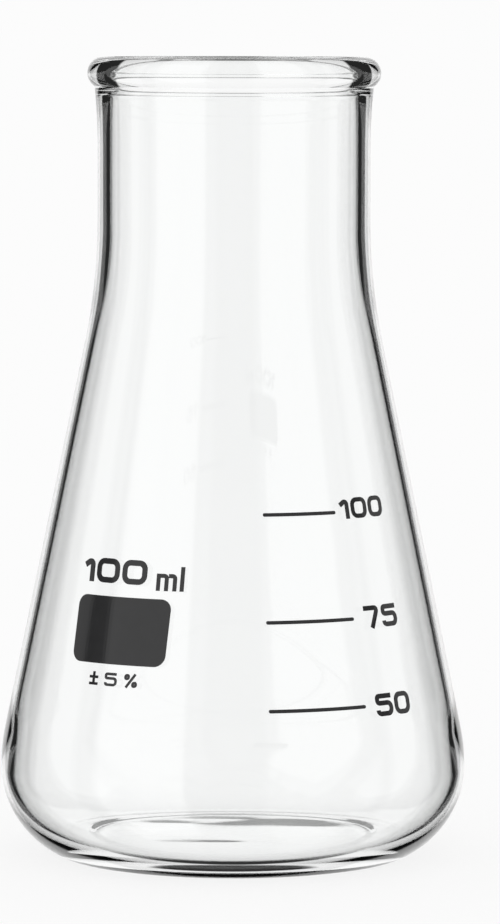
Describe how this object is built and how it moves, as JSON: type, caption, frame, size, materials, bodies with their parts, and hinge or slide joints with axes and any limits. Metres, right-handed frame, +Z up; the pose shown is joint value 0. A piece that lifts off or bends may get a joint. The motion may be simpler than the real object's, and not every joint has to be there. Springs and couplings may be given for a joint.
{
  "type": "conical laboratory flask",
  "caption": "Conical glass laboratory flask with a wide beaded neck, rounded heel, printed filling lines and a marking panel.",
  "frame": {"origin": "on the flask's axis, in the plane of the ring it stands on", "axes": "+Z up the axis to the mouth; the printed marks face -Y, with the marking panel towards -X and the filling lines towards +X"},
  "size_m": [0.0612, 0.0612, 0.105],
  "materials": {
    "glass": "clear fire-polished borosilicate glass",
    "enamel": "glossy black fired enamel print"
  },
  "bodies": {
    "root": {"flask": "glass", "marking_spot": "enamel", "graduation_50": "enamel", "graduation_75": "enamel", "graduation_100": "enamel"}
  },
  "joints": []
}
